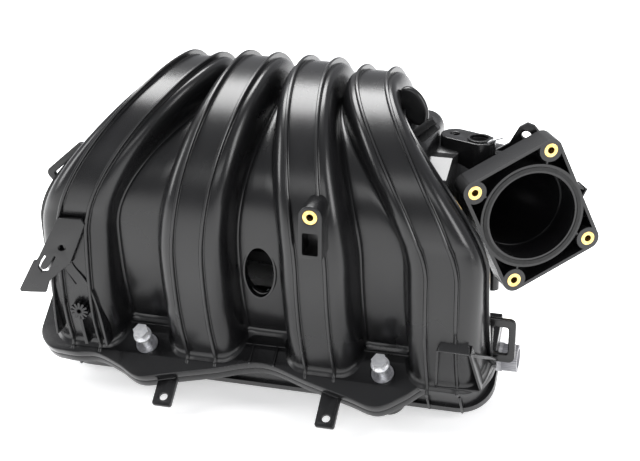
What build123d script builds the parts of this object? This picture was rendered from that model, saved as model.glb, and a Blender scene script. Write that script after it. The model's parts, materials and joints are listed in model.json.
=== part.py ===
from build123d import *
import os
from math import asin, cos, degrees, pi, radians, sin

# Intake manifold for a four-cylinder engine, in millimetres.
# Design frame: X along the engine, -Y towards the front, +Z up. Its origin is midway between
# the tops of the two front bolt sleeves. Every finished piece is moved by STAND, so that the
# row stands on its lowest edge with the origin at the bottom centre of its box.

# ---------------------------------------------------------------- driving dimensions
PITCH = 88.0                  # cylinder spacing
FLANGE_TILT = 36.0            # head flange, from horizontal
BAND = 8.0                    # thickness of each of the two welded flange bands
FLANGE_HEIGHT = 44.0          # sleeve tops to head face
WALL = 3.0                    # moulded wall
WELD_GAP = 0.04               # each shell's clearance to the weld surface

ARCH_Y, ARCH_Z, ARCH_R = 60.0, 109.0, 66.0      # centre surface over the top
LEG_R = 206.0                                   # centre surface down the front
LEG_Y = ARCH_Y - ARCH_R + LEG_R

TUBE_WIDE, TUBE_NARROW = 54.0, 41.0
BRIM = 1.5                    # parting rim beside the outer runners
FAR = 400.0                   # past everything, for cutting solids
INNER_TOP_X, OUTER_TOP_X = 22.3, 64.0           # runner centres over the top
LEAN_START, LEAN_LENGTH = -23.0, 132.0          # arc length where the runners draw together
REAR_DEPTH = 24.0
RIB_SPACING, RIB_HEIGHT, RIB_THICK = 21.0, 4.0, 2.6

PORT_T = -22.0                # port centre, down-slope coordinate on the flange
PORT_W, PORT_H = 36.0, 28.0
BASE_LEFT, BASE_RIGHT = -171.0, 164.0
BASE_FRONT, BASE_BACK = -3.0, 58.0              # local y on the flange, up the slope
END_RADIUS = 25.0
BOSS_R = 12.0
LEG_FOOT_Z = -42.65           # the plane the part stands on, level with the front bolt bosses
TAB_X, TAB_W = (-68.0, 53.0), 14.5
FOOT_BOX_X, FOOT_BOX_W = 143.0, 28.0
TOOL_HOLE_W, TOOL_HOLE_H = 21.0, 38.0
GROOVE_DEPTH = 3.0

BOLT_X = 88.0
CENTRE_BOLT_T = -40.0
SLEEVE_R, SLEEVE_BORE_R = 8.0, 6.0
BOLT_R, BOLT_LENGTH, BOLT_LIFT = 3.0, 56.0, 12.5
HEAD_R, HEAD_FLANGE, HEX_AF, HEX_HEIGHT = 6.6, 1.6, 10.0, 6.0
RETAINER_TOP, RETAINER_LENGTH = -14.0, 6.0      # on the raised bolt, measured from the head
RUN_GAP = 0.05                # radial running clearance

TB_CENTRE = (179.0, 66.0, 103.0)                # centre of the throttle flange face
TB_TURN, TB_ROLL = 32.0, 24.5
TB_BORE_R, TB_SEAT = 32.5, 25.0                  # straight bore, then a 0.5 mm step
TB_BOLTS_W, TB_BOLTS_H = 61.0, 78.0
TB_DEPTH = 18.0
TB_LIP_R = 39.0
TB_GROOVE_IN, TB_GROOVE_OUT = 34.25, 36.85
BLACK_NIPPLE = (149.0, 90.0, 66.0)
INSERT_R, INSERT_BORE_R, INSERT_LENGTH = 5.0, 2.5, 12.0

LEFT_LOOP, LEFT_LOOP_TURN = (-140.0, 4.0, 131.0), 42.5
RIGHT_LOOP = (165.5, 18.0, 27.0)
LOOP_LONG, LOOP_WIDE, LOOP_BAR, LOOP_THICK = 39.0, 20.0, 5.0, 4.0

STAND = Location((-24.74, -54.0, 42.65))

os.makedirs("parts", exist_ok=True)


def keep(builder, name):
    """Stand the finished piece in the row frame, name it and write it."""
    piece = builder.part.moved(STAND)
    piece.label = name
    export_step(piece, f"parts/{name}.step")


# ---------------------------------------------------------------- flange frame and runner path
TILT = radians(FLANGE_TILT)


def flange_point(x, t, n):
    """A point x along the engine, t down the flange slope and n above its top face."""
    return (x, -t * cos(TILT) - n * sin(TILT), -t * sin(TILT) + n * cos(TILT))


def flange_plane(n, x=0.0, t=0.0):
    """Plane on the flange, n above its top face. Its local y runs up the slope, against t."""
    return Plane(origin=flange_point(x, t, n), x_dir=(1, 0, 0), z_dir=(0, -sin(TILT), cos(TILT)))


LEG_FOOT_ANGLE = 180 + degrees(asin((ARCH_Z - 12.9) / LEG_R))


def path_point(angle):
    """Centre surface in Y and Z. The angle is 180 where the front leg meets the arch."""
    if angle > 180:
        return (LEG_Y + LEG_R * cos(radians(angle)), ARCH_Z + LEG_R * sin(radians(angle)))
    return (ARCH_Y + ARCH_R * cos(radians(angle)), ARCH_Z + ARCH_R * sin(radians(angle)))


FOOT = path_point(LEG_FOOT_ANGLE)


def progress(angle):
    """0 at the flange, 1 where the runners are closest together."""
    radius = LEG_R if angle > 180 else ARCH_R
    step = ((180 - angle) * pi / 180 * radius - LEAN_START) / LEAN_LENGTH
    step = min(max(step, 0.0), 1.0)
    return step * step * (3 - 2 * step)


def station(angle, below=0.0):
    """Section plane: local x along the engine, local y outwards. below goes under the flange."""
    if angle is None:
        origin = (0, FOOT[0] + below * sin(TILT), FOOT[1] - below * cos(TILT))
        outward = radians(180 + FLANGE_TILT)
    else:
        origin = (0, *path_point(angle))
        outward = radians(angle)
    return Plane(origin=origin, x_dir=(1, 0, 0), z_dir=(0, -sin(outward), cos(outward)))


ANGLES = [200, 190, 180, 162, 144, 126, 108, 90, 68, 45, 22, 0]
STATIONS = [(None, 24.0), (None, 0.0)] + [(angle, 0.0) for angle in ANGLES]


def runner_x(foot_x, top_x, angle):
    if angle is None:
        return foot_x
    return foot_x + (top_x - foot_x) * progress(angle)


def runner_width(angle):
    if angle is None:
        return TUBE_WIDE
    return TUBE_WIDE + (TUBE_NARROW - TUBE_WIDE) * progress(angle)


def front_depth(outer, angle):
    """How far a runner stands out of the centre surface. The outer two are shallower mid-way."""
    if not outer or angle is None:
        return 26.0
    if angle > 180:
        return 26.0 - 0.45 * (207.0 - angle)
    return 14.0 + 9.0 * progress(angle)


def half_tube(runner, side, inset):
    """One half of a runner as a solid, side +1 outside the centre surface and -1 inside it."""
    foot_x, top_x, outer = runner
    low = -1.0 if inset else 1.0
    with BuildPart() as half:
        for angle, below in STATIONS:
            x = runner_x(foot_x, top_x, angle)
            reach = runner_width(angle) / 2 - inset
            depth = (front_depth(outer, angle) if side > 0 else REAR_DEPTH) - inset
            corner = 0.5 * depth
            with BuildSketch(station(angle, below)):
                with BuildLine():
                    Polyline(
                        (x - reach, side * low),
                        (x - reach, side * (depth - corner)),
                        (x - reach + corner, side * depth),
                        (x + reach - corner, side * depth),
                        (x + reach, side * (depth - corner)),
                        (x + reach, side * low),
                        close=True,
                    )
                make_face()
        loft()
    return half.part


def runner_rib(runner, offset):
    """A raised rib along a runner's outer face, offset sideways from its centre."""
    foot_x, top_x, outer = runner
    with BuildPart() as rib:
        for angle, below in STATIONS[1:]:
            x = runner_x(foot_x, top_x, angle) + offset
            depth = front_depth(outer, angle)
            with BuildSketch(station(angle, below)):
                with Locations((x, depth + RIB_HEIGHT / 2 - 1)):
                    Rectangle(RIB_THICK, RIB_HEIGHT + 2)
        loft()
    return rib.part


def web(side):
    """The wall between and beside the runners, WALL thick, on one side of the centre surface."""
    with BuildPart() as wall:
        for angle, below in STATIONS:
            reach = runner_x(1.5 * PITCH, OUTER_TOP_X, angle) + runner_width(angle) / 2 + BRIM
            with BuildSketch(station(angle, below)):
                with Locations((0, side * (WALL + WELD_GAP) / 2)):
                    Rectangle(2 * reach, WALL - WELD_GAP)
        loft()
    return wall.part


def front_region():
    """Everything in front of the centre surface, as one wide solid."""
    leg_middle = path_point((180 + LEG_FOOT_ANGLE) / 2)
    arch_middle = path_point(135)
    deep = (FOOT[0] + FAR * sin(TILT), FOOT[1] - FAR * cos(TILT))
    with BuildPart() as region:
        with BuildSketch(Plane.YZ.offset(-FAR)):
            with BuildLine():
                Line(deep, FOOT)
                ThreePointArc(FOOT, leg_middle, path_point(180))
                ThreePointArc(path_point(180), arch_middle, path_point(90))
                crest = path_point(90)
                Polyline(crest, (crest[0], FAR), (-FAR, FAR), (-FAR, deep[1]), deep)
            make_face()
        extrude(amount=2 * FAR)
    return region.part


def flange_slab(low, high, front_only=False):
    """The wavy head flange between two heights: a lobe round each bolt, shallow in between."""
    lobes = [(0, -5), (35, -14), (66, -22), (88, -27), (106, -16), (120, -4), (138, -3)]
    left = [(-153, -14), (-140, -14.5), (-124, -13), (-106, -19), (-88, -27), (-66, -22), (-35, -14)]
    with BuildPart() as slab:
        with BuildSketch(flange_plane(low)):
            with BuildLine():
                Spline(*left, *lobes)
                ThreePointArc(lobes[-1], (BASE_RIGHT - 7, 5), (BASE_RIGHT, 22))
                Polyline((BASE_RIGHT, 22), (BASE_RIGHT, BASE_BACK), (BASE_LEFT, BASE_BACK), (BASE_LEFT, 4))
                ThreePointArc((BASE_LEFT, 4), (BASE_LEFT + 5, -8.5), left[0])
            make_face()
        extrude(amount=high - low)
    return slab.part


def ports(low, high):
    """The four intake ports as solids, for cutting."""
    with BuildPart() as cores:
        with BuildSketch(flange_plane(low)):
            with Locations([(foot_x, -PORT_T) for foot_x, _, _ in RUNNERS]):
                RectangleRounded(PORT_W, PORT_H, 10)
        extrude(amount=high - low)
    return cores.part


BOLT_SEATS = [(-BOLT_X, 0.0), (BOLT_X, 0.0), (0.0, -CENTRE_BOLT_T)]

RUNNERS = [
    (-1.5 * PITCH, -OUTER_TOP_X, True),
    (-0.5 * PITCH, -INNER_TOP_X, False),
    (0.5 * PITCH, INNER_TOP_X, False),
    (1.5 * PITCH, OUTER_TOP_X, True),
]

outer_front = [half_tube(runner, 1, 0.0) for runner in RUNNERS[2:]]
inner_front = [half_tube(runner, 1, WALL) for runner in RUNNERS[2:]]
outer_rear = [half_tube(runner, -1, 0.0) for runner in RUNNERS[2:]]
inner_rear = [half_tube(runner, -1, WALL) for runner in RUNNERS[2:]]
ribs = [runner_rib(runner, offset) for runner in RUNNERS[2:] for offset in (-RIB_SPACING / 2, RIB_SPACING / 2)]
in_front = front_region()


def both_sides(solids):
    """The right-hand solids with their mirror images."""
    return solids + [solid.mirror(Plane.YZ) for solid in solids]


# ---------------------------------------------------------------- front shell
# Outer halves of the runners, the wall between them and the front of the flange's upper band.
COVER_BOSS_FACE = (48.3, -48.0, 135.0)          # brass-lined boss on the third runner
cover_plane = Plane(origin=COVER_BOSS_FACE, x_dir=(1, 0, 0), z_dir=(0, -1, 0))

with BuildPart() as front_shell:
    add(flange_slab(-BAND, 0))
    add(in_front, mode=Mode.INTERSECT)
    add(web(1))
    add(both_sides(outer_front))
    add(both_sides(ribs))
    # cover boss with the open pocket under it
    with BuildSketch(cover_plane):
        Circle(8)
        with Locations((0, -15)):
            Rectangle(16, 30)
    extrude(amount=-20)
    # connector plate on the left runner, its web and the post below it
    with BuildSketch(Plane(origin=(-140, -21, 76), x_dir=(1, 0, 0), z_dir=(0, -1, 0))):
        Polygon((-2, 28), (16, 28), (19, 24), (7, -6), (-10, -23), (-19, -35), (-34, -35), (-26, -8), align=None)
    extrude(amount=3)
    with BuildSketch(Plane(origin=(-134, -21, 76), x_dir=(0, 1, 0), z_dir=(1, 0, 0))):
        Rectangle(11, 50, align=(Align.MIN, Align.MAX))
    extrude(amount=3)
    # box at the foot of the right runner
    with BuildSketch(flange_plane(-BAND, x=FOOT_BOX_X)):
        with Locations((0, 6)):
            Rectangle(FOOT_BOX_W, 18)
    extrude(amount=40)
    # parts of these bosses that would stand inside the flange bands are cut away
    with BuildSketch(flange_plane(-BAND)):
        Rectangle(2 * FAR, 2 * FAR)
    extrude(amount=-60, mode=Mode.SUBTRACT)
    # hollows: box, pocket, runners and sleeve holes
    with BuildSketch(flange_plane(6, x=FOOT_BOX_X)):
        with Locations((0, 4)):
            Rectangle(FOOT_BOX_W - 2 * WALL, 18)
    extrude(amount=20, mode=Mode.SUBTRACT)
    with BuildSketch(cover_plane):
        with Locations((0, -19.5)):
            Rectangle(11, 16)
    extrude(amount=-16, mode=Mode.SUBTRACT)
    add(both_sides(inner_front), mode=Mode.SUBTRACT)
    with BuildSketch(cover_plane):
        Circle(INSERT_R)
    extrude(amount=-INSERT_LENGTH, mode=Mode.SUBTRACT)
    with BuildSketch(flange_plane(-BAND)):
        with Locations((-BOLT_X, 0), (BOLT_X, 0)):
            Circle(SLEEVE_R)
    extrude(amount=40, mode=Mode.SUBTRACT)
    # tool opening over the upper bolt, and the slot under it
    with BuildSketch(Plane.XZ.offset(-60)):
        with Locations((0, 70)):
            Ellipse(TOOL_HOLE_W / 2, TOOL_HOLE_H / 2)
        with Locations((0, 30)):
            SlotOverall(30, 8.6, rotation=90)
    extrude(amount=120, mode=Mode.SUBTRACT)
keep(front_shell, "front_shell")

# ---------------------------------------------------------------- rear shell
# Inner halves of the runners, the rest of the upper band and the whole of the lower band.
with BuildPart() as rear_shell:
    add(flange_slab(-BAND, 0))
    add(in_front, mode=Mode.SUBTRACT)
    add(flange_slab(-2 * BAND, -BAND))
    add(web(-1))
    add(both_sides(outer_rear))
    with BuildSketch(flange_plane(-2 * BAND)):
        Rectangle(2 * FAR, 2 * FAR)
    extrude(amount=-60, mode=Mode.SUBTRACT)
    # hose-clip loops at both ends
    with BuildSketch(Plane(origin=LEFT_LOOP, x_dir=(1, 0, 0), z_dir=(0, -1, 0))):
        RectangleRounded(LOOP_LONG, LOOP_WIDE, 4, rotation=LEFT_LOOP_TURN)
        RectangleRounded(
            LOOP_LONG - 2 * LOOP_BAR, LOOP_WIDE - 2 * LOOP_BAR, 2, rotation=LEFT_LOOP_TURN, mode=Mode.SUBTRACT
        )
    extrude(amount=-LOOP_THICK)
    with BuildSketch(Plane(origin=RIGHT_LOOP, x_dir=(1, 0, 0), z_dir=(0, -1, 0))):
        RectangleRounded(25, 33, 4)
        with Locations((2, 0)):
            RectangleRounded(11, 20, 2, mode=Mode.SUBTRACT)
    extrude(amount=-LOOP_THICK)
    # two tabs with holes at the bottom front
    with BuildSketch(flange_plane(-BAND - 4)):
        with Locations(*[(x, -24) for x in TAB_X]):
            Rectangle(TAB_W, 38)
        with Locations(*[(x, -36) for x in TAB_X]):
            Circle(3, mode=Mode.SUBTRACT)
    extrude(amount=3)
    add(both_sides(inner_rear), mode=Mode.SUBTRACT)
    add(ports(-2 * BAND - 1, 1), mode=Mode.SUBTRACT)
    with BuildSketch(flange_plane(-2 * BAND)):
        with Locations(*BOLT_SEATS):
            Circle(SLEEVE_R)
    extrude(amount=40, mode=Mode.SUBTRACT)
    with BuildSketch(Plane.XZ.offset(-60)):
        with Locations((0, 70)):
            Ellipse(TOOL_HOLE_W / 2, TOOL_HOLE_H / 2)
    extrude(amount=120, mode=Mode.SUBTRACT)
    add(front_shell.part, mode=Mode.SUBTRACT)
keep(rear_shell, "rear_shell")

# ---------------------------------------------------------------- head flange base
with BuildPart() as head_flange_base:
    with BuildSketch(flange_plane(-FLANGE_HEIGHT)):
        with Locations(((BASE_LEFT + BASE_RIGHT) / 2, (BASE_FRONT + BASE_BACK) / 2)):
            RectangleRounded(BASE_RIGHT - BASE_LEFT - 4, BASE_BACK - BASE_FRONT, END_RADIUS)
        with Locations(*BOLT_SEATS):
            Circle(BOSS_R)
    extrude(amount=FLANGE_HEIGHT - 2 * BAND)
    # recess between the two lips of the front and end walls
    with BuildSketch(flange_plane(-FLANGE_HEIGHT + 7)):
        with Locations(((BASE_LEFT + BASE_RIGHT) / 2, (BASE_FRONT + BASE_BACK) / 2)):
            RectangleRounded(BASE_RIGHT - BASE_LEFT + 40, BASE_BACK - BASE_FRONT + 40, END_RADIUS)
            RectangleRounded(BASE_RIGHT - BASE_LEFT - 12, BASE_BACK - BASE_FRONT - 4, END_RADIUS - 4, mode=Mode.SUBTRACT)
        with Locations(*BOLT_SEATS):
            Circle(BOSS_R, mode=Mode.SUBTRACT)
    extrude(amount=FLANGE_HEIGHT - 2 * BAND - 11, mode=Mode.SUBTRACT)
    # relief pockets between the ports, open at the head face
    with BuildSketch(flange_plane(-FLANGE_HEIGHT)):
        for x in (-BOLT_X, 0, BOLT_X):
            with Locations((x, 36 if x else 12)):
                RectangleRounded(20, 22 if x else 12, 4)
    extrude(amount=FLANGE_HEIGHT - 2 * BAND - 6, mode=Mode.SUBTRACT)
    add(ports(-FLANGE_HEIGHT, -2 * BAND), mode=Mode.SUBTRACT)
    with BuildSketch(flange_plane(-FLANGE_HEIGHT)):
        with Locations([(foot_x, -PORT_T) for foot_x, _, _ in RUNNERS]):
            RectangleRounded(PORT_W + 9, PORT_H + 9, 13)
            RectangleRounded(PORT_W + 3, PORT_H + 3, 11.5, mode=Mode.SUBTRACT)
    extrude(amount=GROOVE_DEPTH, mode=Mode.SUBTRACT)
    with BuildSketch(flange_plane(-FLANGE_HEIGHT)):
        with Locations(*BOLT_SEATS):
            Circle(SLEEVE_R)
    extrude(amount=FLANGE_HEIGHT, mode=Mode.SUBTRACT)
keep(head_flange_base, "head_flange_base")

# ---------------------------------------------------------------- plenum
# Section of the chamber under the arch, in Y and Z.
PLENUM_LEFT, PLENUM_RIGHT = -118.0, 122.0
PLENUM_SEAM_Z = 66.0
LIP_REACH, LIP_THICK = 5.0, 4.0      # welded lips round the seam
END_BOX_CENTRE = (98.0, 102.0)       # fuller end that the throttle neck enters, in Y and Z
END_BOX_W, END_BOX_H, END_BOX_R = 84.0, 76.0, 34.0
PLENUM_SECTION = [
    (72, 12), (36, 60), (26, 80), (26, 112), (38, 135), (60, 143), (82, 138),
    (95, 122), (98, 109), (152, 109), (152, 74), (133, 56),
]


def plenum_body(inset):
    """The chamber as a solid, with the fuller end that the throttle neck enters."""
    with BuildPart() as chamber:
        with BuildSketch(Plane.YZ.offset(PLENUM_LEFT + inset)):
            with BuildLine():
                Polyline(*PLENUM_SECTION, close=True)
            make_face()
            offset(amount=-inset, kind=Kind.INTERSECTION)
        extrude(amount=PLENUM_RIGHT - PLENUM_LEFT - 2 * inset)
        with BuildSketch(Plane.YZ.offset(PLENUM_RIGHT - 25 + inset)):
            with Locations(END_BOX_CENTRE):
                RectangleRounded(END_BOX_W - 2 * inset, END_BOX_H - 2 * inset, END_BOX_R - inset)
        extrude(amount=25 - 2 * inset)
    return chamber.part


def below_seam(top):
    with BuildPart() as block:
        with BuildSketch(Plane.XY.offset(top)):
            Rectangle(2 * FAR, 2 * FAR)
        extrude(amount=-FAR)
    return block.part


def seam_flange(low):
    """One of the two welded lips round the chamber's seam."""
    with BuildPart() as lip:
        with BuildSketch(Plane.XY.offset(low)):
            with Locations(((PLENUM_LEFT + PLENUM_RIGHT - LIP_REACH) / 2, 91)):
                RectangleRounded(PLENUM_RIGHT - PLENUM_LEFT + LIP_REACH, 126, 12)
        extrude(amount=LIP_THICK)
    return lip.part


NECK_ENTRY = (PLENUM_RIGHT, 105.0, 103.0)
NECK_R = TB_BORE_R + WALL
chamber_outer = plenum_body(0)
chamber_inner = plenum_body(WALL)

with BuildPart() as plenum_shell:
    add(chamber_outer)
    add(seam_flange(PLENUM_SEAM_Z))
    add(chamber_inner, mode=Mode.SUBTRACT)
    add(below_seam(PLENUM_SEAM_Z), mode=Mode.SUBTRACT)
    # bell-mouth openings under the four runners
    with BuildSketch(Plane.XY.offset(ARCH_Z - 10)):
        with Locations(*[(top_x, ARCH_Y + ARCH_R) for _, top_x, _ in RUNNERS]):
            Rectangle(TUBE_NARROW - 2 * WALL - 2, 2 * (REAR_DEPTH - WALL) - 6)
    extrude(amount=20, mode=Mode.SUBTRACT)
    # pressure-sensor pad with its two holes
    with BuildSketch(Plane(origin=(127, 92, 147), x_dir=(0.94, -0.34, 0), z_dir=(0, 0, 1))):
        SlotOverall(42, 20)
        with Locations((-9, 0)):
            Circle(3, mode=Mode.SUBTRACT)
        with Locations((9, 0)):
            Circle(6, mode=Mode.SUBTRACT)
    extrude(amount=-8)
    with BuildSketch(Plane.YZ.offset(PLENUM_RIGHT)):
        with Locations((NECK_ENTRY[1], NECK_ENTRY[2])):
            Circle(TB_BORE_R)
    extrude(amount=-20, mode=Mode.SUBTRACT)
keep(plenum_shell, "plenum_shell")

with BuildPart() as plenum_cover:
    add(chamber_outer)
    add(seam_flange(PLENUM_SEAM_Z - LIP_THICK))
    add(chamber_inner, mode=Mode.SUBTRACT)
    add(below_seam(PLENUM_SEAM_Z), mode=Mode.INTERSECT)
    # two webbed legs that the part stands on
    for x in (-100, 100):
        with BuildSketch(Plane.YZ.offset(x - 5)):
            with BuildLine():
                Polyline((110, 40), (133, 58), (150, 66), (156, 66), (156, LEG_FOOT_Z), (144, LEG_FOOT_Z), close=True)
            make_face()
        extrude(amount=10)
    add(chamber_inner, mode=Mode.SUBTRACT)
keep(plenum_cover, "plenum_cover")

# ---------------------------------------------------------------- throttle neck and flange
turn = radians(TB_TURN)
tb_across = (cos(turn), sin(turn), 0)
tb_out = (sin(turn), -cos(turn), 0)


def tb_plane(depth):
    """Plane on the throttle flange, depth behind its face."""
    origin = tuple(c - depth * o for c, o in zip(TB_CENTRE, tb_out))
    return Plane(origin=origin, x_dir=tb_across, z_dir=tb_out)


roll = radians(TB_ROLL)
TB_INSERTS = [
    (
        i * TB_BOLTS_W / 2 * cos(roll) - j * TB_BOLTS_H / 2 * sin(roll),
        i * TB_BOLTS_W / 2 * sin(roll) + j * TB_BOLTS_H / 2 * cos(roll),
    )
    for i, j in ((1, 1), (-1, 1), (1, -1), (-1, -1))
]
neck_corner = tb_plane((NECK_ENTRY[1] - TB_CENTRE[1]) / cos(turn)).origin

with BuildPart() as throttle_neck:
    with BuildLine():
        FilletPolyline(TB_CENTRE, neck_corner, NECK_ENTRY, radius=50)
    with BuildSketch(tb_plane(0)):
        Circle(NECK_R)
    sweep()
    with BuildSketch(tb_plane(TB_DEPTH)):
        RectangleRounded(TB_BOLTS_W + 17, TB_BOLTS_H + 17, 8.4, rotation=TB_ROLL)
        Circle(TB_LIP_R)
    extrude(amount=TB_DEPTH)
    # pockets between the ring and the edge wall
    with BuildSketch(tb_plane(TB_DEPTH - 3)):
        RectangleRounded(TB_BOLTS_W + 12, TB_BOLTS_H + 12, 6, rotation=TB_ROLL)
        Circle(TB_LIP_R, mode=Mode.SUBTRACT)
        with Locations(*TB_INSERTS):
            Circle(8.5, mode=Mode.SUBTRACT)
    extrude(amount=TB_DEPTH, mode=Mode.SUBTRACT)
    with BuildSketch(tb_plane(GROOVE_DEPTH)):
        Circle(TB_GROOVE_OUT)
        Circle(TB_GROOVE_IN, mode=Mode.SUBTRACT)
    extrude(amount=2 * GROOVE_DEPTH, mode=Mode.SUBTRACT)
    with BuildSketch(tb_plane(INSERT_LENGTH)):
        with Locations(*TB_INSERTS):
            Circle(INSERT_R)
    extrude(amount=2 * INSERT_LENGTH, mode=Mode.SUBTRACT)
    # socket for the vacuum nipple
    with BuildSketch(Plane(origin=BLACK_NIPPLE, x_dir=(1, 0, 0), z_dir=(0, 0, -1))):
        Circle(8)
    extrude(amount=-16)
    with BuildLine():
        FilletPolyline(tb_plane(-10).origin, neck_corner, (NECK_ENTRY[0] - 10, *NECK_ENTRY[1:]), radius=50)
    with BuildSketch(tb_plane(-10)):
        Circle(TB_BORE_R - 0.5)
    sweep(mode=Mode.SUBTRACT)
    with BuildSketch(tb_plane(TB_SEAT)):
        Circle(TB_BORE_R)
    extrude(amount=2 * TB_SEAT, mode=Mode.SUBTRACT)
keep(throttle_neck, "throttle_neck")

# ---------------------------------------------------------------- brass inserts
def insert_ring(plane, name):
    with BuildPart() as insert:
        with BuildSketch(plane):
            Circle(INSERT_R)
            Circle(INSERT_BORE_R, mode=Mode.SUBTRACT)
        extrude(amount=-INSERT_LENGTH)
    keep(insert, name)


for number, (across, up) in enumerate(TB_INSERTS, start=1):
    face = tb_plane(0)
    centre = face.origin + face.x_dir * across + face.y_dir * up
    insert_ring(Plane(origin=centre, x_dir=tb_across, z_dir=tb_out), f"throttle_insert_{number}")
insert_ring(cover_plane, "cover_boss_insert")

# ---------------------------------------------------------------- seals
with BuildPart() as throttle_gasket:
    with BuildSketch(tb_plane(GROOVE_DEPTH)):
        Circle(TB_GROOVE_OUT)
        Circle(TB_GROOVE_IN, mode=Mode.SUBTRACT)
    extrude(amount=GROOVE_DEPTH + 0.6)
keep(throttle_gasket, "throttle_gasket")

for number, (foot_x, _, _) in enumerate(RUNNERS, start=1):
    with BuildPart() as port_gasket:
        with BuildSketch(flange_plane(-FLANGE_HEIGHT + GROOVE_DEPTH, x=foot_x)):
            with Locations((0, -PORT_T)):
                RectangleRounded(PORT_W + 9, PORT_H + 9, 13)
                RectangleRounded(PORT_W + 3, PORT_H + 3, 11.5, mode=Mode.SUBTRACT)
        extrude(amount=-GROOVE_DEPTH - 0.6)
    keep(port_gasket, f"port_gasket_{number}")

# ---------------------------------------------------------------- sleeves, bolts and retainers
SEAT_NAMES = ("left", "right", "centre")
for side, (x, up_slope) in zip(SEAT_NAMES, BOLT_SEATS):
    with BuildPart() as sleeve:
        with BuildSketch(flange_plane(-FLANGE_HEIGHT, x=x, t=-up_slope)):
            Circle(SLEEVE_R)
            Circle(SLEEVE_BORE_R, mode=Mode.SUBTRACT)
        extrude(amount=FLANGE_HEIGHT)
    keep(sleeve, f"sleeve_{side}")

    with BuildPart() as bolt:
        with BuildSketch(flange_plane(BOLT_LIFT - BOLT_LENGTH, x=x, t=-up_slope)):
            Circle(BOLT_R)
        extrude(amount=BOLT_LENGTH)
        with BuildSketch(flange_plane(BOLT_LIFT, x=x, t=-up_slope)):
            Circle(HEAD_R)
        extrude(amount=HEAD_FLANGE)
        with BuildSketch(flange_plane(BOLT_LIFT + HEAD_FLANGE, x=x, t=-up_slope)):
            RegularPolygon(HEX_AF / 2, 6, major_radius=False)
        extrude(amount=HEX_HEIGHT)
    keep(bolt, f"bolt_{side}")

    with BuildPart() as retainer:
        with BuildSketch(flange_plane(BOLT_LIFT + RETAINER_TOP, x=x, t=-up_slope)):
            Circle(SLEEVE_BORE_R - RUN_GAP)
            Circle(BOLT_R + RUN_GAP, mode=Mode.SUBTRACT)
        extrude(amount=-RETAINER_LENGTH)
    keep(retainer, f"retainer_{side}")

# ---------------------------------------------------------------- hose nipples
def nipple(plane, bore, lengths_and_radii, name):
    """A stepped hose nipple along its plane's normal."""
    with BuildPart() as stem:
        start = 0.0
        for length, radius in lengths_and_radii:
            with BuildSketch(plane.offset(start)):
                Circle(radius)
            extrude(amount=length)
            start += length
        with BuildSketch(plane.offset(start)):
            Circle(bore)
        extrude(amount=-start + 3, mode=Mode.SUBTRACT)
    keep(stem, name)


down = Plane(origin=BLACK_NIPPLE, x_dir=(1, 0, 0), z_dir=(0, 0, -1))
nipple(down, 3.0, ((6, 6.5), (28, 5.0)), "vacuum_nipple")
sideways = Plane(origin=(BASE_RIGHT - 2, 46, 0), x_dir=(0, 1, 0), z_dir=(1, 0, 0))
nipple(sideways, 7.0, ((4, 10.5), (11, 9.8)), "breather_nipple")
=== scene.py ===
# %% [markdown]
# # A moulded intake manifold
# The real part is black glass-filled nylon. Several shells are moulded one by one and welded
# together along their rims, then brass inserts and steel sleeves are pressed in. The bolts are
# held captive in the sleeves.
# The CAD model is the fixed frame: every piece below is placed from it, in metres.

# %% Load the frame
import json
from math import asin, atan2, cos, pi, radians, sin

import bpy
from mathutils import Matrix, Vector


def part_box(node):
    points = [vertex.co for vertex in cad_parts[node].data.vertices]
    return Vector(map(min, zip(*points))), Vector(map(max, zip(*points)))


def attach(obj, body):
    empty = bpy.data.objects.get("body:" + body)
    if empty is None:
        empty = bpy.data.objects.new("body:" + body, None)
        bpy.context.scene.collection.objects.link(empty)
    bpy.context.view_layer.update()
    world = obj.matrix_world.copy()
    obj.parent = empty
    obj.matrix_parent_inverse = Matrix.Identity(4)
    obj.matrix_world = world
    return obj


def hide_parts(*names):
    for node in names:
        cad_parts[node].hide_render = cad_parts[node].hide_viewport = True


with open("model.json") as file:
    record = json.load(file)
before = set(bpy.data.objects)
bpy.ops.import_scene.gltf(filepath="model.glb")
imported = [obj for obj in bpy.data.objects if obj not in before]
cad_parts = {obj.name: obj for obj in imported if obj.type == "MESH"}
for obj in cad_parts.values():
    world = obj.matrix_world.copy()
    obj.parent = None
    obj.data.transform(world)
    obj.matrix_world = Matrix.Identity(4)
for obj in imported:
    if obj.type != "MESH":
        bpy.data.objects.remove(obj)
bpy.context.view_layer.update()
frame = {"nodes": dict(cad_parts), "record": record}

# %% [markdown]
# Everything on this part is laid out from two places: the middle of the two front bolt sleeves,
# and the head flange, which leans back 36 degrees. Finding the first from the sleeves' boxes keeps
# the script right if the CAD model moves. Lengths are given in millimetres and turned to metres
# once.

# %% Place and lengths
MM = 0.001
TILT = radians(36)
SLEEVE_R = 8 * MM
left_low, left_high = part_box("sleeve_left")
right_low, right_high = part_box("sleeve_right")
ORIGIN = Vector((
    (left_low.x + right_high.x) / 2,
    left_low.y + SLEEVE_R * cos(TILT),
    left_high.z - SLEEVE_R * sin(TILT),
))


def place(x, y, z):
    """A point given in millimetres from the middle of the sleeve tops."""
    return ORIGIN + Vector((x, y, z)) * MM


def on_flange(x, t, n):
    """A point x along the engine, t down the flange slope, n above its top face."""
    return place(x, -t * cos(TILT) - n * sin(TILT), -t * sin(TILT) + n * cos(TILT))


def flange_matrix(x, t, n):
    """Stands an object on the flange: its y runs up the slope and its z out of the face."""
    turn = Matrix.Rotation(TILT, 4, "X")
    return Matrix.Translation(on_flange(x, t, n)) @ turn


print("origin", [round(v, 4) for v in ORIGIN])

# %% [markdown]
# The camera looks down 24 degrees from a little to the right, through a long lens, so that the
# runners keep their size from front to back. The lights are the soft boxes of a product studio:
# black gloss plastic is seen only by what it reflects, so the boxes are its real modelling.

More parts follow.
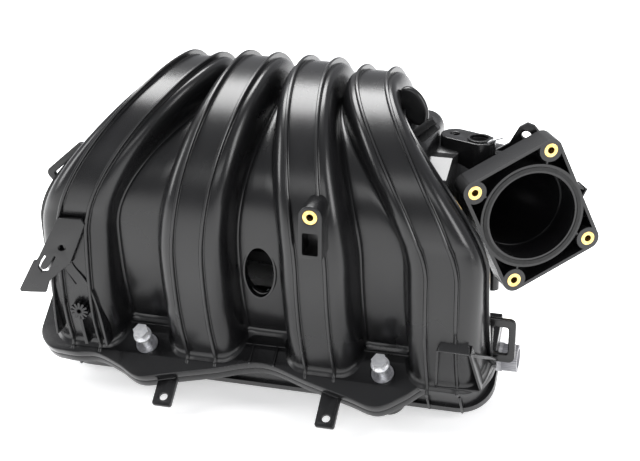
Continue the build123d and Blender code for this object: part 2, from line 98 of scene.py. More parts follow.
# %% Camera and light
scene = bpy.context.scene
CAMERA_BACK = Vector((0.2364, -0.8824, 0.4067))
CAMERA_RIGHT = Vector((0.9659, 0.2588, 0.0))
CAMERA_DISTANCE = 1273
camera_up = CAMERA_BACK.cross(CAMERA_RIGHT).normalized()
aim = place(30.0, 46.4, 83.2)
camera_data = bpy.data.cameras.new("studio_camera")
camera_data.lens = 100
camera_data.sensor_width = 36
camera_data.clip_end = 20
camera = bpy.data.objects.new("studio_camera", camera_data)
scene.collection.objects.link(camera)
turn = Matrix((CAMERA_RIGHT, camera_up, CAMERA_BACK)).transposed().to_4x4()
camera.matrix_world = Matrix.Translation(aim + CAMERA_BACK * CAMERA_DISTANCE * MM) @ turn
scene.camera = camera


def soft_box(name, spot, size, watts):
    """Adds a large rectangular light at spot, turned towards the part."""
    lamp = bpy.data.lights.new(name, "AREA")
    lamp.shape = "RECTANGLE"
    lamp.size, lamp.size_y = size
    lamp.energy = watts
    box = bpy.data.objects.new(name, lamp)
    scene.collection.objects.link(box)
    box.location = spot
    box.rotation_euler = (aim - Vector(spot)).to_track_quat("-Z", "Y").to_euler()


soft_box("top_box", (-0.25, 0.35, 1.25), (1.0, 0.6), 30)
soft_box("left_box", (-1.3, -0.5, 0.75), (0.5, 1.0), 14)
soft_box("right_box", (1.3, -0.35, 0.65), (0.5, 0.9), 11)
soft_box("front_box", (0.1, -1.5, 0.9), (1.2, 0.4), 5)
world = bpy.data.worlds.new("studio")
scene.world = world
world.use_nodes = True
world.node_tree.nodes["Background"].inputs["Color"].default_value = (0.95, 0.96, 1.0, 1)
world.node_tree.nodes["Background"].inputs["Strength"].default_value = 0.5
scene.view_settings.view_transform = "Standard"
print("camera", [round(v, 3) for v in camera.location])

# %% [markdown]
# The floor is a plain pale sheet, not part of the object.

# %% Floor
bpy.ops.mesh.primitive_plane_add(size=12, location=(0, 0, 0))
floor = bpy.context.object
floor.name = "studio_floor"

# %% [markdown]
# ## Finishes
# Each finish is a small node tree. The nylon is nearly black, with a fine grain from the mould,
# slow variations of gloss where the melt cooled at different speeds, and a painted highlight
# that lightens its edges.
# All patterns read Object coordinates in metres, so a scale of 900 is a grain of about a
# millimetre.

# %% Helpers for finishes
SPECULAR = 0.44


def new_finish(name, roughness, metallic=0.0):
    """A material with its shader's plain values set, and its node tree to build on."""
    finish = bpy.data.materials.new(name)
    finish.use_nodes = True
    shader = finish.node_tree.nodes["Principled BSDF"]
    shader.inputs["Roughness"].default_value = roughness
    shader.inputs["Metallic"].default_value = metallic
    shader.inputs["Specular IOR Level"].default_value = SPECULAR
    return finish, finish.node_tree, shader


def object_noise(tree, scale, detail=3.0):
    """A noise pattern that stays fixed to the object."""
    coords = tree.nodes.new("ShaderNodeTexCoord")
    noise = tree.nodes.new("ShaderNodeTexNoise")
    noise.inputs["Scale"].default_value = scale
    noise.inputs["Detail"].default_value = detail
    tree.links.new(coords.outputs["Object"], noise.inputs["Vector"])
    return noise


def ramp(tree, source, low, high, low_value, high_value):
    """Maps a pattern's grey between two positions to two colours."""
    node = tree.nodes.new("ShaderNodeValToRGB")
    node.color_ramp.elements[0].position = low
    node.color_ramp.elements[1].position = high
    node.color_ramp.elements[0].color = (*low_value, 1)
    node.color_ramp.elements[1].color = (*high_value, 1)
    tree.links.new(source, node.inputs["Fac"])
    return node


def grain(tree, shader, scale, distance, strength):
    """Fine relief from a noise, as bump."""
    noise = object_noise(tree, scale, 2.0)
    bump = tree.nodes.new("ShaderNodeBump")
    bump.inputs["Strength"].default_value = strength
    bump.inputs["Distance"].default_value = distance
    tree.links.new(noise.outputs["Fac"], bump.inputs["Height"])
    tree.links.new(bump.outputs["Normal"], shader.inputs["Normal"])


def grey(value, blue=1.0):
    """A grey, tinted by scaling its blue."""
    return (value, value, value * blue)


# %% Moulded nylon


def moulded_nylon(name, dark, light, gloss_low, gloss_high, grain_strength=0.12):
    """Black or grey nylon: clouded colour, patchy gloss, edges lightened by a painted highlight,
    fine grain.
    """
    finish, tree, shader = new_finish(name, 0.4)
    cloud = object_noise(tree, 22, 4.0)
    colour = ramp(tree, cloud.outputs["Fac"], 0.35, 0.7, grey(dark, 1.08), grey(light, 1.08))
    shape = tree.nodes.new("ShaderNodeNewGeometry")
    # pointy edges get a lighter colour added: a painted highlight
    edge = ramp(tree, shape.outputs["Pointiness"], 0.53, 0.62, grey(0.0), grey(light * 2.2))
    mix = tree.nodes.new("ShaderNodeMix")
    mix.data_type = "RGBA"
    mix.blend_type = "ADD"
    mix.inputs["Factor"].default_value = 1.0
    tree.links.new(colour.outputs["Color"], mix.inputs["A"])
    tree.links.new(edge.outputs["Color"], mix.inputs["B"])
    tree.links.new(mix.outputs["Result"], shader.inputs["Base Color"])
    patches = object_noise(tree, 9, 5.0)
    gloss = ramp(tree, patches.outputs["Fac"], 0.3, 0.75, grey(gloss_low), grey(gloss_high))
    tree.links.new(gloss.outputs["Color"], shader.inputs["Roughness"])
    grain(tree, shader, 2600, 0.00015, grain_strength)
    return finish


BLACK_NYLON = moulded_nylon("black_glass_filled_nylon", 0.0045, 0.0075, 0.21, 0.33)
GREY_NYLON = moulded_nylon("grey_nylon", 0.16, 0.21, 0.42, 0.52)
print("nylons", BLACK_NYLON.name, GREY_NYLON.name)

# %% [markdown]
# Turned metal shows a fine grain and a little tarnish. The brass of the inserts is warm and bright,
# the bolts are zinc plated, and the sleeves are plain drawn steel.

# %% Metals and rubber


def worn_metal(name, clean, tarnished, gloss_low, gloss_high):
    """Metal with small stains, patchy gloss and a fine tool grain."""
    finish, tree, shader = new_finish(name, 0.3, 1.0)
    stain = object_noise(tree, 420, 5.0)
    colour = ramp(tree, stain.outputs["Fac"], 0.35, 0.68, tarnished, clean)
    tree.links.new(colour.outputs["Color"], shader.inputs["Base Color"])
    rub = object_noise(tree, 900, 3.0)
    gloss = ramp(tree, rub.outputs["Fac"], 0.3, 0.7, grey(gloss_low), grey(gloss_high))
    tree.links.new(gloss.outputs["Color"], shader.inputs["Roughness"])
    grain(tree, shader, 2400, 0.00008, 0.25)
    return finish


BRASS = worn_metal("turned_brass", (0.95, 0.72, 0.30), (0.72, 0.47, 0.15), 0.22, 0.38)
ZINC = worn_metal("zinc_plate", (0.95, 0.95, 0.95), (0.80, 0.81, 0.83), 0.34, 0.5)
STEEL = worn_metal("drawn_steel", (0.66, 0.66, 0.68), (0.45, 0.45, 0.47), 0.28, 0.42)


def rubber_finish(name):
    finish, tree, shader = new_finish(name, 0.7)
    cloud = object_noise(tree, 300, 3.0)
    colour = ramp(tree, cloud.outputs["Fac"], 0.3, 0.7, grey(0.006), grey(0.014))
    tree.links.new(colour.outputs["Color"], shader.inputs["Base Color"])
    grain(tree, shader, 1500, 0.0001, 0.3)
    return finish


RUBBER = rubber_finish("seal_rubber")
PAPER_GLOW = 0.45


def paper_finish(name):
    finish, tree, shader = new_finish(name, 0.6)
    cloud = object_noise(tree, 0.8, 2.0)
    colour = ramp(tree, cloud.outputs["Fac"], 0.3, 0.7, grey(0.93), grey(0.97))
    tree.links.new(colour.outputs["Color"], shader.inputs["Base Color"])
    shader.inputs["Emission Color"].default_value = (1, 1, 1, 1)
    shader.inputs["Emission Strength"].default_value = PAPER_GLOW
    return finish


floor.data.materials.append(paper_finish("studio_paper"))


def give_finish(piece, finish):
    """One finish all over a piece."""
    piece.data.materials.clear()
    piece.data.materials.append(finish)


SLOT_FINISH = {
    "black_nylon": BLACK_NYLON, "grey_nylon": GREY_NYLON, "brass": BRASS,
    "steel": STEEL, "zinc_plated_steel": ZINC, "seal_rubber": RUBBER,
}
for part in frame["record"]["subparts"]:
    give_finish(frame["nodes"][part["node"]], SLOT_FINISH[part["material_slot"]])

# %% [markdown]
# ## The runner shells
# Four runners rise from the flange, lean towards each other and arch over. A skin like this could
# be cut from a block, but its look is in its long unbroken reflections, so it is laid as one sheet:
# a grid whose columns follow the runners and whose rows are sections along the arch. Each section
# is flat strip, rib, round shoulder and a fillet into the wall between the runners.

# %% The path over the arch
ARCH_Y, ARCH_Z, ARCH_R = 60.0, 109.0, 66.0
LEG_R = 206.0
LEG_Y = ARCH_Y - ARCH_R + LEG_R
FOOT_Z = 12.9
LEG_TURN = asin((ARCH_Z - FOOT_Z) / LEG_R)
LEG_LENGTH = LEG_TURN * LEG_R
ARCH_LENGTH = pi * ARCH_R
LEAN_START, LEAN_LENGTH = -23.0, 132.0
FOOT_BLEND = 34.0
FOOT = (LEG_Y - LEG_R * cos(LEG_TURN), FOOT_Z)


def smooth_step(value):
    value = min(max(value, 0.0), 1.0)
    return value * value * (3 - 2 * value)


def path_frame(length):
    """Y, Z and outward angle of the centre surface, at a length up from the flange."""
    if length <= 0:
        return FOOT[0] - length * sin(TILT), FOOT[1] + length * cos(TILT), pi + TILT
    if length < LEG_LENGTH:
        angle = pi + LEG_TURN - length / LEG_R
        y, z = LEG_Y + LEG_R * cos(angle), ARCH_Z + LEG_R * sin(angle)
        return y, z, angle + (pi + TILT - angle) * (1 - smooth_step(length / FOOT_BLEND))
    angle = pi - (length - LEG_LENGTH) / ARCH_R
    return ARCH_Y + ARCH_R * cos(angle), ARCH_Z + ARCH_R * sin(angle), angle


def lean(length):
    """0 at the flange, 1 where the runners are closest together."""
    return smooth_step((length - LEG_LENGTH - LEAN_START) / LEAN_LENGTH)


# where each runner's middle is at its foot, and where the runners are closest
RUNNERS = [(-132.0, -64.0), (-44.0, -22.3), (44.0, 22.3), (132.0, 64.0)]
FIRST_LATE = 7.0
FOOT_HALF_WIDTH, WIDTH_LOSS = 27.0, 6.5
MIDDLE_DEPTH, REAR_DEPTH = 26.0, 24.0
OUTER_LOSS, OUTER_LOW, OUTER_RISE = 12.0, 14.0, 9.0


def runner_centre(runner, length):
    """Where a runner's middle is across the row. The first one leans in a little later."""
    foot, top = RUNNERS[runner]
    late = FIRST_LATE if runner == 0 else 0.0
    return foot + (top - foot) * lean(length - late)


def half_width(length):
    return FOOT_HALF_WIDTH - WIDTH_LOSS * lean(length)


def front_depth(runner, length):
    """How far a runner stands out. The outer two are shallower where they lean."""
    if runner in (1, 2):
        return MIDDLE_DEPTH
    if length < LEG_LENGTH:
        return MIDDLE_DEPTH - OUTER_LOSS * smooth_step(length / LEG_LENGTH)
    return OUTER_LOW + OUTER_RISE * lean(length)


print("path", round(LEG_LENGTH + ARCH_LENGTH, 1), "mm")

# %% [markdown]
# A runner's section is worked out from its middle outwards: half the flat strip, a rib 21 mm from
# its twin, a round shoulder and a small fillet where it meets the wall. The other half mirrors it.
# The section spreads a little as it nears the flange, like the fillet that joins the two.

# %% One section of a runner
RIB_PLACE, RIB_HALF, RIB_HEIGHT = 10.5, 1.1, 3.6
RIB_ROUND = 0.5
SHOULDER_STEPS, FILLET_STEPS = 12, 5
SHOULDER_POWER = 2.25
FLARE = 5.0


def flare(length):
    """Outward spread near the flange, a quarter circle of radius FLARE."""
    if length >= FLARE:
        return 0.0
    drop = FLARE - max(length, 0.0)
    return FLARE - (FLARE * FLARE - drop * drop) ** 0.5


def half_section(width, depth, fillet, ribbed, rib_height=RIB_HEIGHT):
    """Points (sideways, outwards) from the middle of a runner to the wall beside it."""
    points = [(0.0, depth), (RIB_PLACE * 0.5, depth)]
    if ribbed:
        low, high = depth - 0.2, depth + rib_height
        inner, outer = RIB_PLACE - RIB_HALF, RIB_PLACE + RIB_HALF
        points += [(inner - RIB_ROUND, depth), (inner - 0.1, low + RIB_ROUND)]
        points += [(inner, high - RIB_ROUND), (inner + RIB_ROUND, high)]
        points += [(outer - RIB_ROUND, high), (outer, high - RIB_ROUND)]
        points += [(outer + 0.1, low), (outer + RIB_ROUND, low - RIB_ROUND * 0.6)]
        start = outer + 2 * RIB_ROUND
    else:
        points += [(RIB_PLACE * 0.75, depth), (RIB_PLACE, depth * 0.995)]
        start = RIB_PLACE
    depth_start = depth * 0.985 if ribbed else depth * 0.99
    last = pi / 2 - asin(min(fillet / depth_start, 0.9)) * 0.8
    for step in range(1, SHOULDER_STEPS + 1):
        angle = last * step / SHOULDER_STEPS
        side = sin(angle) ** (2 / SHOULDER_POWER)
        rise = cos(angle) ** (2 / SHOULDER_POWER)
        points.append((start + (width - start) * side, depth_start * rise))
    edge_x, edge_y = points[-1]
    for step in range(1, FILLET_STEPS + 1):
        angle = pi / 2 * step / FILLET_STEPS
        points.append((edge_x + fillet * (1 - cos(angle)), edge_y * (1 - sin(angle))))
    return points


# %% A whole row of the sheet, from rim to rim
BRIM = 1.5
WEB_COLUMNS = 3
LEAST_GAP, FILLET, FILLET_SHARE = 1.2, 5.0, 0.45
RIB_STOP, RIB_STOP_BLEND = 42, 5
RIB_STUB, RIB_STUB_RISE = 0.6, 3.0


def sheet_row(length, side):
    """Points (x, outwards) across all four runners at one length of the path."""
    spread = flare(length)
    width = half_width(length) + spread * 0.8
    row = []
    for runner in range(4):
        centre = runner_centre(runner, length)
        depth = (front_depth(runner, length) if side > 0 else REAR_DEPTH) + spread
        gaps = []
        for neighbour in (runner - 1, runner + 1):
            if 0 <= neighbour < 4:
                gap = abs(runner_centre(neighbour, length) - centre) - 2 * width
            else:
                gap = 2 * BRIM
            gaps.append(max(gap, LEAST_GAP))
        fillets = [min(FILLET, gap * FILLET_SHARE) for gap in gaps]
        left = half_section(width, depth, fillets[0], side > 0)
        # the last runner's right rib stops at the box on its foot
        rib = RIB_HEIGHT
        if runner == 3:
            rib = RIB_STUB + RIB_STUB_RISE * smooth_step((length - RIB_STOP) / RIB_STOP_BLEND)
        right = half_section(width, depth, fillets[1], side > 0, rib)
        if runner == 0:
            row.append((centre - left[-1][0] - BRIM, 0.0))
            row.append((centre - left[-1][0] - BRIM * 0.5, 0.0))
        else:
            start, end = row[-1][0], centre - left[-1][0]
            for step in range(1, WEB_COLUMNS + 1):
                row.append((start + (end - start) * step / (WEB_COLUMNS + 1), 0.0))
        row += [(centre - x, y) for x, y in reversed(left)]
        row += [(centre + x, y) for x, y in right[1:]]
        if runner == 3:
            row.append((centre + right[-1][0] + BRIM * 0.5, 0.0))
            row.append((centre + right[-1][0] + BRIM, 0.0))
    return [(x, max(y, 0.0) + (spread if y < spread else 0.0)) for x, y in row]


ROW_STEP = 3.2
SHEET_START = -4.0
rows_near_flange = [SHEET_START + 0.75 * step for step in range(14)]
rows_left = int((LEG_LENGTH + ARCH_LENGTH - rows_near_flange[-1]) / ROW_STEP)
row_step = (LEG_LENGTH + ARCH_LENGTH - rows_near_flange[-1]) / rows_left
ROW_LENGTHS = rows_near_flange + [
    rows_near_flange[-1] + row_step * step for step in range(1, rows_left + 1)
]
print("sheet", len(sheet_row(50, 1)), "columns by", len(ROW_LENGTHS), "rows")

# %% [markdown]
# The grid primitive is added with the right number of columns and rows, and each of its points is
# then moved to its place on the sheet. Solidify gives the wall its thickness, and booleans cut the
# tool hole and the slot under it, as the mould's cores do.

# %% Helpers for editing


def deselect():
    if bpy.context.object and bpy.context.object.mode != "OBJECT":
        bpy.ops.object.mode_set(mode="OBJECT")
    bpy.ops.object.select_all(action="DESELECT")


def active(piece):
    deselect()
    piece.select_set(True)
    bpy.context.view_layer.objects.active = piece


def settle(piece):
    """Applies the object's place and turn to its mesh, so that it sits at the origin."""
    active(piece)
    bpy.ops.object.transform_apply(location=True, rotation=True, scale=True)


def outward(piece):
    """Merges doubles and turns the faces of a closed mesh outwards."""
    active(piece)
    bpy.ops.object.mode_set(mode="EDIT")
    bpy.ops.mesh.select_all(action="SELECT")
    bpy.ops.mesh.remove_doubles(threshold=0.00002)
    bpy.ops.mesh.normals_make_consistent(inside=False)
    bpy.ops.object.mode_set(mode="OBJECT")


def smooth_by_angle(piece, angle=32):
    active(piece)
    bpy.ops.object.shade_smooth_by_angle(angle=radians(angle))


def apply_modifier(piece, modifier):
    active(piece)
    bpy.ops.object.modifier_apply(modifier=modifier.name)


def cut(piece, cutter):
    """Cuts one closed piece out of another and throws the cutter away."""
    modifier = piece.modifiers.new("cut", "BOOLEAN")
    modifier.operation = "DIFFERENCE"
    modifier.solver = "EXACT"
    modifier.object = cutter
    apply_modifier(piece, modifier)
    bpy.data.objects.remove(cutter)


def join(pieces, name):
    deselect()
    for piece in pieces:
        piece.select_set(True)
    bpy.context.view_layer.objects.active = pieces[0]
    bpy.ops.object.join()
    whole = bpy.context.object
    whole.name = name
    return whole


# %% The two skins
SKIN_THICKNESS = 2.4


def runner_skin(name, side):
    """The sheet over all four runners, outside the centre surface or inside it."""
    columns = len(sheet_row(50, side))
    deselect()
    bpy.ops.mesh.primitive_grid_add(
        x_subdivisions=columns - 1, y_subdivisions=len(ROW_LENGTHS) - 1, size=1
    )
    skin = bpy.context.object
    skin.name = name
    places = []
    for length in ROW_LENGTHS:
        y, z, angle = path_frame(length)
        for x, rise in sheet_row(length, side):
            reach = side * rise
            places.append(place(x, y + reach * cos(angle), z + reach * sin(angle)))
    for vertex, spot in zip(skin.data.vertices, places):
        vertex.co = spot
    skin.data.update()
    active(skin)
    bpy.ops.object.mode_set(mode="EDIT")
    bpy.ops.mesh.select_all(action="SELECT")
    if side < 0:
        bpy.ops.mesh.flip_normals()
    bpy.ops.object.mode_set(mode="OBJECT")
    wall = skin.modifiers.new("wall", "SOLIDIFY")
    wall.thickness = SKIN_THICKNESS * MM
    wall.offset = 0 if side < 0 else -1
    wall.use_even_offset = False
    apply_modifier(skin, wall)
    return skin


cover_skin = runner_skin("runner_cover", 1)
inner_skin = runner_skin("runner_inner", -1)
print("cover faces", len(cover_skin.data.polygons), cover_skin.data.polygons[0].normal)

# %% [markdown]
# The tool hole goes through both skins, and the slot under it through the cover only. Straight
# cores cut them. A thin raised rim is left round the tool hole, where the mould halves met.

# %% Flat outlines


def ring_points(x, y, across, up, turn=0.0, count=48):
    """An ellipse as points."""
    c, s = cos(turn), sin(turn)
    angles = [2 * pi * step / count for step in range(count)]
    flat = [(across * cos(a), up * sin(a)) for a in angles]
    return [(x + u * c - v * s, y + u * s + v * c) for u, v in flat]


def rounded_box(x, y, width, height, radius, turn=0.0, steps=6):
    """A rectangle with round corners, as points."""
    c, s = cos(turn), sin(turn)
    points = []
    for corner, (i, j) in enumerate(((1, 1), (-1, 1), (-1, -1), (1, -1))):
        for step in range(steps + 1):
            a = pi / 2 * (corner + step / steps)
            u = i * (width / 2 - radius) + radius * cos(a)
            v = j * (height / 2 - radius) + radius * sin(a)
            points.append((x + u * c - v * s, y + u * s + v * c))
    return points


def smooth_line(points, steps=8):
    """A Catmull-Rom line through the points."""
    line = []
    for i in range(len(points) - 1):
        before = points[max(i - 1, 0)]
        a, b = points[i], points[i + 1]
        after = points[min(i + 2, len(points) - 1)]
        for step in range(steps):
            t = step / steps
            line.append(tuple(
                0.5 * (2 * q + (r - p) * t + (2 * p - 5 * q + 4 * r - w) * t * t
                       + (3 * q - p - 3 * r + w) * t * t * t)
                for p, q, r, w in zip(before, a, b, after)
            ))
    return line + [points[-1]]


def facing(x, y, z):
    """Stands a flat piece upright, its face towards the front: x across, y up."""
    return Matrix.Translation(place(x, y, z)) @ Matrix.Rotation(pi / 2, 4, "X")


def flat_plate(name, matrix, thickness, *outlines, bevel=0.4):
    """A plate from a filled outline and its holes. Its front is at the matrix's plane."""
    shape = bpy.data.curves.new(name, "CURVE")
    shape.dimensions = "2D"
    shape.fill_mode = "BOTH"
    for outline in outlines:
        line = shape.splines.new("POLY")
        line.points.add(len(outline) - 1)
        for point, (u, v) in zip(line.points, outline):
            point.co = (u * MM, v * MM, 0, 1)
        line.use_cyclic_u = True
    shape.extrude = (thickness / 2 - bevel) * MM
    shape.bevel_depth = bevel * MM
    shape.bevel_resolution = 2
    shape.offset = -bevel * MM
    plate = bpy.data.objects.new(name, shape)
    scene.collection.objects.link(plate)
    plate.matrix_world = matrix @ Matrix.Translation((0, 0, -thickness / 2 * MM))
    active(plate)
    bpy.ops.object.convert(target="MESH")
    plate = bpy.context.object
    settle(plate)
    outward(plate)
    return plate


def rod(name, start, end, radius, vertices=32):
    """A round rod between two points in millimetres."""
    a, b = place(*start), place(*end)
    along = b - a
    deselect()
    bpy.ops.mesh.primitive_cone_add(
        vertices=vertices, radius1=radius * MM, radius2=radius * MM, depth=along.length,
        location=(a + b) / 2, rotation=along.to_track_quat("Z", "Y").to_euler(),
    )
    piece = bpy.context.object
    piece.name = name
    settle(piece)
    return piece


# %% Cut the tool hole and the slot
TOOL_HOLE, TOOL_HOLE_RIM = (0, 70, 10.5, 19.0), (0, 70, 12.2, 20.8)
for skin in (cover_skin, inner_skin):
    cut(skin, flat_plate("core", facing(0, -60, 0), 140, ring_points(*TOOL_HOLE)))
slot = rounded_box(0, 31, 8.6, 28, 4.2)
cut(cover_skin, flat_plate("core", facing(0, -60, 0), 100, slot))
hole_rim = flat_plate(
    "tool_hole_rim", facing(0, -5.5, 0), 5, ring_points(*TOOL_HOLE_RIM), ring_points(*TOOL_HOLE)
)
print("cover faces", len(cover_skin.data.polygons))

# %% [markdown]
# ## The two flange bands
# Both shells end in a band that is welded to the flange. Each band has a lobe round each front
# bolt and runs shallow in between. They are cut from the same outline, 8 mm apart.

# %% Flange bands
BAND = 8.0
BASE_LEFT, BASE_RIGHT, BASE_BACK = -171.0, 164.0, 58.0
lobes = [(0, -5), (35, -14), (66, -22), (88, -27), (106, -16), (120, -4), (138, -3)]
left_lobes = [
    (-153, -14), (-140, -14.5), (-124, -13), (-106, -19), (-88, -27), (-66, -22), (-35, -14),
]
front_line = smooth_line(left_lobes + lobes)


def arc(x, y, radius, start, end, steps=10):
    angles = [radians(start + (end - start) * step / steps) for step in range(steps + 1)]
    return [(x + radius * cos(a), y + radius * sin(a)) for a in angles]


right_end = arc(BASE_RIGHT - 25, 22, 25, -88, 0) + [(BASE_RIGHT, BASE_BACK)]
left_end = [(BASE_LEFT, BASE_BACK)] + arc(BASE_LEFT + 18, 4, 18, 180, 264)
band_outline = front_line + right_end + left_end
BOLT_SEATS = [(-88, 0), (88, 0), (0, 40)]
band_holes = [ring_points(x, y, 8.1, 8.1) for x, y in BOLT_SEATS]
band_holes += [rounded_box(foot, 22, 36, 28, 10) for foot, top in RUNNERS]
bands = [
    flat_plate("flange_band", flange_matrix(0, 0, -0.1), BAND - 0.5, band_outline, *band_holes,
               bevel=0.9),
    flat_plate("flange_band", flange_matrix(0, 0, -BAND - 0.1), BAND - 0.3, band_outline,
               *band_holes, bevel=0.9),
]
# low ledges across the bolt seats and at the foot of the middle web
for x in (-88, 88):
    bands.append(flat_plate(
        "ledge", flange_matrix(x, 0, 1.4), 1.6, rounded_box(0, 15.6, 44, 1.6, 0.7), bevel=0.3
    ))
bands.append(flat_plate(
    "ledge", flange_matrix(0, 0, 1.2), 1.4, rounded_box(0, 10, 30, 1.6, 0.7), bevel=0.3
))
for x in (-9, 9):
    bands.append(flat_plate(
        "ledge", flange_matrix(x, 0, 1.6), 2, rounded_box(0, 2, 1.8, 16, 0.8), bevel=0.3
    ))
# two tabs at the bottom front, each with a hole and a stiffening rib
for x in (-68, 53):
    bands.append(flat_plate(
        "tab", flange_matrix(x, 0, -9), 3, rounded_box(0, -24, 14.5, 38, 2),
        ring_points(0, -36, 3, 3, count=24), bevel=0.5,
    ))
    bands.append(flat_plate(
        "tab", flange_matrix(x + 6.4, 0, -7.6), 4, rounded_box(0, -24, 1.6, 36, 0.7), bevel=0.3
    ))
print("bands and tabs", len(bands))

# %% [markdown]
# ## The connector plate, its fins and the star post
# The plate stands off the first runner. It has a hole and a sprung tongue cut by a narrow slit, and
# thin fins run down the runner from it. The star post under it is where a clip would push on.

# %% Connector plate
PLATE_Y = -25
plate_outline = [
    (-141.1, 103.8), (-123.5, 104.6), (-121, 100.5), (-133.5, 69.7), (-150.6, 53.5),
    (-153.5, 44.4), (-165, 43.2), (-172.8, 42.6), (-173.8, 44.5), (-161.5, 68.5), (-159.6, 68.4),
    (-157.2, 72), (-148.9, 88.5),
]
tongue_slit = [
    (-152.9, 73.6), (-156.3, 68.3), (-158.2, 63.8), (-155.6, 60.2), (-151.0, 61.2),
    (-147.3, 67.0), (-144.1, 73.3), (-145.3, 73.9), (-148.6, 68.0), (-151.9, 63.0),
    (-155.0, 62.0), (-156.6, 64.2), (-155.0, 67.8), (-151.7, 72.9),
]
plate = flat_plate(
    "plate", facing(0, PLATE_Y, 0), 2.6, plate_outline, tongue_slit,
    ring_points(-139, 81, 3.2, 2.2, 0.3, 20), bevel=0.35,
)


def fin(name, line, front, depth, thick=1.5):
    """A thin wall that follows a line across the front, standing front to back."""
    path = smooth_line(line, 6)
    left, right = [], []
    for i, (u, v) in enumerate(path):
        a, b = path[max(i - 1, 0)], path[min(i + 1, len(path) - 1)]
        along = Vector((b[0] - a[0], b[1] - a[1])).normalized()
        left.append((u - along.y * thick / 2, v + along.x * thick / 2))
        right.append((u + along.y * thick / 2, v - along.x * thick / 2))
    return flat_plate(name, facing(0, front, 0), depth, left + right[::-1], bevel=0.3)


fins = [
    fin("fin", [(-143.2, 67.3), (-139, 69.6), (-135.5, 69.4), (-132, 64), (-124.9, 55.4),
                (-119.5, 44.3), (-115, 28.9), (-112, 13.3), (-110.5, 5)], -21, 12),
    fin("fin", [(-150.3, 56), (-150.6, 36.3), (-150.1, 20.3), (-149.2, 9)], -19, 12),
    fin("fin", [(-142.8, 64.7), (-138, 58.5), (-132.8, 50.5)], -20, 8),
    fin("fin", [(-131.2, 26), (-129.5, 14), (-127.2, 3)], -18, 10, 2.4),
    fin("fin", [(-133.5, 69.7), (-138, 82), (-141, 95)], PLATE_Y + 2, 12, 2.0),
]
star = []
for turn in range(6):
    angle = pi * turn / 6
    star.append(flat_plate(
        "star", facing(-130, -22.5, 31), 10, rounded_box(0, 0, 13.5, 1.8, 0.8, angle), bevel=0.25
    ))
star.append(rod("star", (-130, -20.5, 31), (-130, -12, 31), 4.2))
print("plate pieces", 1 + len(fins) + len(star))

# %% [markdown]
# ## Loops, foot box and cover boss
# A loop for a hose clip stands out at each end. A box with an open front is moulded at the foot of
# the last runner, with a web towards the right loop. The brass-lined boss for the engine cover
# grows out of the third.

# %% Loops and foot box
LOOP_TURN = radians(42.5)
loops = [
    flat_plate("loop", facing(-140, 4, 131), 4, rounded_box(0, 0, 39, 20, 4.5, LOOP_TURN),
               rounded_box(0, 0, 29, 10, 1.8, LOOP_TURN), bevel=0.7),
    flat_plate("loop", facing(165.5, 18, 27), 4, rounded_box(0, 0, 25, 33, 4.5),
               rounded_box(2, 0, 11, 21, 2), bevel=0.7),
]


def thin_wall(name, corners, thickness=1.8):
    """A thin wall between four corners in millimetres, thickened both ways."""
    deselect()
    bpy.ops.mesh.primitive_plane_add(size=1)
    wall = bpy.context.object
    wall.name = name
    a, b, c, d = corners
    for vertex, corner in zip(wall.data.vertices, (a, b, d, c)):
        vertex.co = place(*corner)
    skin = wall.modifiers.new("thick", "SOLIDIFY")
    skin.thickness = thickness * MM
    skin.offset = 0
    apply_modifier(wall, skin)
    edge = wall.modifiers.new("edge", "BEVEL")
    edge.width = 0.35 * MM
    edge.segments = 2
    apply_modifier(wall, edge)
    outward(wall)
    return wall


lip_left, lip_right = (130.9, -22, 34.3), (153.2, -22, 34)
box_walls = [
    thin_wall("box", (lip_left, (127.1, -5, -4.3), (127.1, 6, -2), (131.5, -10, 38))),
    thin_wall("box", (lip_right, (158.8, -5, -1.5), (158.0, 6, 0), (152.5, -10, 38))),
    thin_wall("box", (lip_left, lip_right, (150.5, -13, 42), (133.5, -13, 42.3)), 2.2),
    thin_wall("box", ((128, -5.5, -3.4), (158.5, -5.5, -2.2), (157, 4, 1), (128, 4, 1)), 2.4),
    thin_wall("box", (lip_right, (166, 16, 13.5), (158, 18, 13.5), (150, -12, 34.5)), 2.4),
]
print("loops", len(loops), "box pieces", len(box_walls))

# %% Cover boss
BOSS = (48.3, -48.0, 135.0)
boss_outline = arc(0, 0, 8, 0, 180, 20) + [(-8, -30), (8, -30)]
cover_boss = flat_plate(
    "cover_boss", facing(*BOSS), 22, boss_outline, ring_points(0, 0, 5.05, 5.05), bevel=0.7
)
pocket = flat_plate("core", facing(BOSS[0], BOSS[1] - 5, BOSS[2] - 19.5), 23,
                    rounded_box(0, 0, 11, 16, 1.2), bevel=0.3)
cut(cover_boss, pocket)
print("boss faces", len(cover_boss.data.polygons))

# %% [markdown]
# ## Round the throttle flange
# The flange keeps the frame's shape. Thin ribs tie each brass-lined boss to the sealing ring, two
# small walls make a locating notch on the right edge, and a tab with a hole stands behind the top.

# %% Throttle flange ribs
TB_CENTRE = Vector((179.0, 66.0, 103.0))
TB_TURN = radians(32)
TB_ROLL = radians(24.5)
across = Vector((cos(TB_TURN), sin(TB_TURN), 0))
out = Vector((sin(TB_TURN), -cos(TB_TURN), 0))


def on_throttle(depth):
    """Stands a flat piece on the throttle flange, depth behind its face."""
    turn = Matrix((across, Vector((0, 0, 1)), out)).transposed().to_4x4()
    return Matrix.Translation(place(*(TB_CENTRE - out * depth))) @ turn


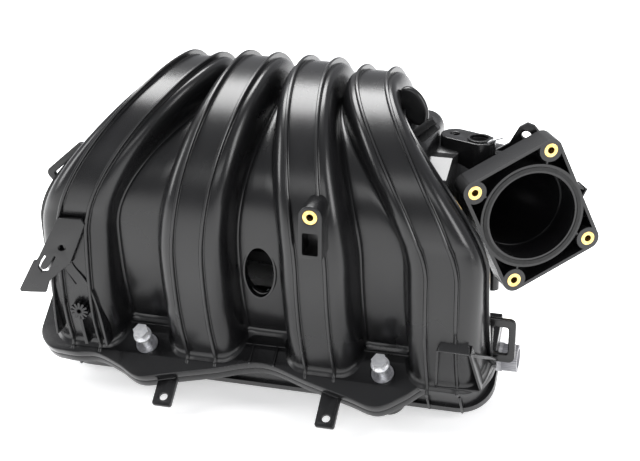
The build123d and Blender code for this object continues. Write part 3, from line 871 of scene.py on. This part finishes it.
ROLL_X = Vector((cos(TB_ROLL), sin(TB_ROLL)))
ROLL_Y = Vector((-sin(TB_ROLL), cos(TB_ROLL)))
throttle_ribs = []
for i, j in ((1, 1), (-1, 1), (1, -1), (-1, -1)):
    centre = ROLL_X * i * 30.5 + ROLL_Y * j * 39
    inward = -centre.normalized()
    middle = centre + inward * 9.2
    throttle_ribs.append(flat_plate("rib", on_throttle(0.6), 14, rounded_box(
        middle.x, middle.y, 5.5, 1.6, 0.6, atan2(inward.y, inward.x)), bevel=0.3))
for u, v, turn in ((34.8, 17.2, -0.35), (39.0, 12.0, 1.1)):
    throttle_ribs.append(flat_plate(
        "rib", on_throttle(0.4), 14, rounded_box(u, v, 8.5, 1.5, 0.6, turn), bevel=0.3
    ))
tab_outline = [
    (147, 140), (156.5, 146.5), (163, 159), (168.5, 162.5), (173.5, 161), (179, 155), (182, 140),
]
throttle_tab = flat_plate("throttle_tab", facing(0, 90, 0), 4, tab_outline, ring_points(
    168.5, 153.5, 3.4, 3.0, count=24), bevel=0.6)
print("throttle ribs", len(throttle_ribs))

# %% [markdown]
# ## The sensor boss
# The pressure sensor sits in a rounded slot-shaped boss with a wide hole and a small one. A bent
# wire clip lies beside it.

# %% Sensor boss
SENSOR_TURN = atan2(-0.34, 0.94)
sensor_at = Matrix.Translation(place(127, 92, 148)) @ Matrix.Rotation(SENSOR_TURN, 4, "Z")
sensor_boss = flat_plate(
    "sensor_boss", sensor_at, 22, rounded_box(0, 0, 42, 21, 10.4), ring_points(-11, 0, 3.4, 3.4),
    ring_points(9, 0, 6.6, 6.6), bevel=0.7,
)
sensor_lip = flat_plate(
    "sensor_boss", sensor_at @ Matrix.Translation((9 * MM, 0, 1.2 * MM)), 3,
    ring_points(0, 0, 8.6, 8.6), ring_points(0, 0, 6.6, 6.6), bevel=0.4,
)
clip_path = [(140, 84, 146), (146, 84, 150), (152, 88, 151), (150, 96, 148)]
clip_parts = [rod("clip", a, b, 0.9, 12) for a, b in zip(clip_path, clip_path[1:])]
print("sensor boss placed")

# %% [markdown]
# ## Seam beads, chamber end and base ribs
# Two short beads of weld flash show behind the last runner, with the rounded end of the chamber and
# a small ear. The base of the flange is stiffened by short ribs between its two lips.

# %% Bead, end of the chamber and ribs
bead = [
    rod("bead", (98, 45, 164.5), (112, 45, 176), 3.0, 20),
    rod("bead", (102, 45, 161), (113.5, 45, 172), 3.0, 20),
]
deselect()
bpy.ops.mesh.primitive_cube_add(size=1, location=place(93, 84, 120))
chamber_end = bpy.context.object
chamber_end.scale = (26 * MM, 76 * MM, 76 * MM)
settle(chamber_end)
rounding = chamber_end.modifiers.new("rounding", "BEVEL")
rounding.width = 12.5 * MM
rounding.segments = 8
apply_modifier(chamber_end, rounding)
ear = flat_plate("ear", facing(93, 60, 178), 6, ring_points(0, 0, 9, 15, 0.5), bevel=2.2)
base_ribs = []
for x in (-150, -112, 118, 142):
    base_ribs.append(flat_plate("base_rib", flange_matrix(x, 0, -17), 26, rounded_box(
        0, 0.5, 1.8, 9, 0.6), bevel=0.3))
print("bead and ribs", len(bead) + len(base_ribs))

# %% [markdown]
# ## Joining up
# Pieces of one moulding are joined under one name. Each rides the fixed body of the frame and the
# two shells they stand for are hidden, so nothing shows twice.

# %% Finish, ride and replace
mouldings = {
    "runner_cover": [cover_skin], "runner_inner": [inner_skin],
    "flange_bands": bands + [hole_rim], "connector_plate": [plate] + fins + star,
    "clip_loops": loops, "foot_box": box_walls, "cover_boss": [cover_boss],
    "throttle_ribs": throttle_ribs + [throttle_tab], "sensor_boss": [sensor_boss, sensor_lip],
    "seam_bead": bead + [ear], "chamber_end": [chamber_end], "base_ribs": base_ribs,
}
for name, pieces in mouldings.items():
    whole = join(pieces, name)
    give_finish(whole, BLACK_NYLON)
    smooth_by_angle(whole)
    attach(whole, "manifold")
wire_clip = join(clip_parts, "wire_clip")
give_finish(wire_clip, ZINC)
smooth_by_angle(wire_clip)
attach(wire_clip, "manifold")
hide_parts("front_shell")
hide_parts("rear_shell")
print("joined", len(mouldings) + 1)
